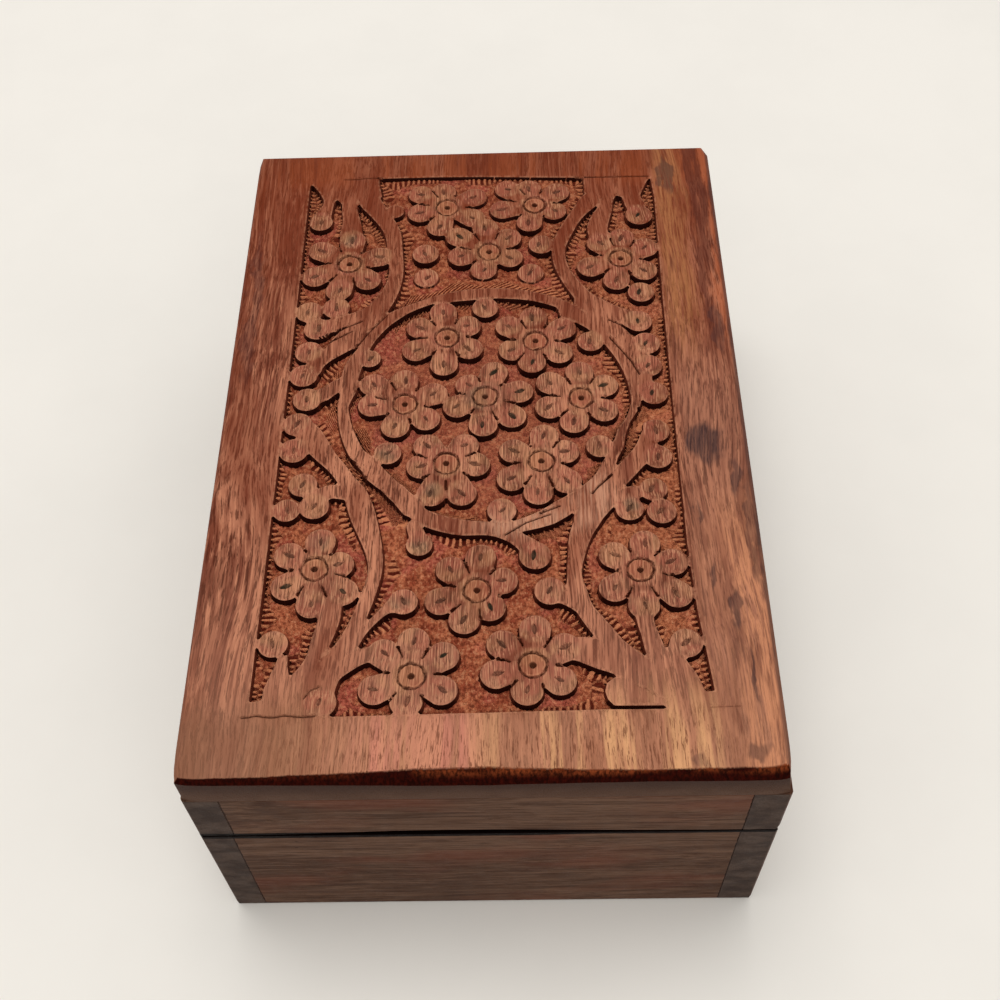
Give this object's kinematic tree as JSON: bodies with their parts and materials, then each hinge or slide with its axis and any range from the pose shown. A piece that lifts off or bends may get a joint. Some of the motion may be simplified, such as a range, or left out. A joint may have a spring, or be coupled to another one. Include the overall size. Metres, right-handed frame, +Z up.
{
  "type": "carved wooden rosary box",
  "caption": "Small rectangular wooden keepsake box with a hinged lid, its top sunk and carved with a ring, stems and six-petal flowers.",
  "frame": {"origin": "middle of the underside, where the box rests", "axes": "+Z up; +Y along the box, away from the plain end that shows end grain at both corners; +X towards the hinged long side"},
  "size_m": [0.1032, 0.1528, 0.0609],
  "materials": {
    "carved_rosewood": "hand carved, dry oiled",
    "rosewood": "hand planed, dry oiled",
    "hinge_brass": "dull"
  },
  "bodies": {
    "base": {"base_front_board": "rosewood", "base_back_board": "rosewood", "base_left_board": "rosewood", "base_right_board": "rosewood", "base_bottom_panel": "rosewood", "front_hinge_base_leaf": "hinge_brass", "front_hinge_pin": "hinge_brass", "back_hinge_base_leaf": "hinge_brass", "back_hinge_pin": "hinge_brass", "base_hinge_screws": "hinge_brass"},
    "lid": {"lid_top_panel": "carved_rosewood", "lid_front_rail": "rosewood", "lid_back_rail": "rosewood", "lid_left_rail": "rosewood", "lid_right_rail": "rosewood", "front_hinge_lid_leaf": "hinge_brass", "back_hinge_lid_leaf": "hinge_brass", "lid_hinge_screws": "hinge_brass"}
  },
  "joints": [
    {"name": "lid_hinge", "type": "hinge", "parent": "base", "child": "lid", "pos_m": [0.0505, 0, 0.03757], "axis": [0, 1, 0], "range_deg": [0, 100]}
  ]
}
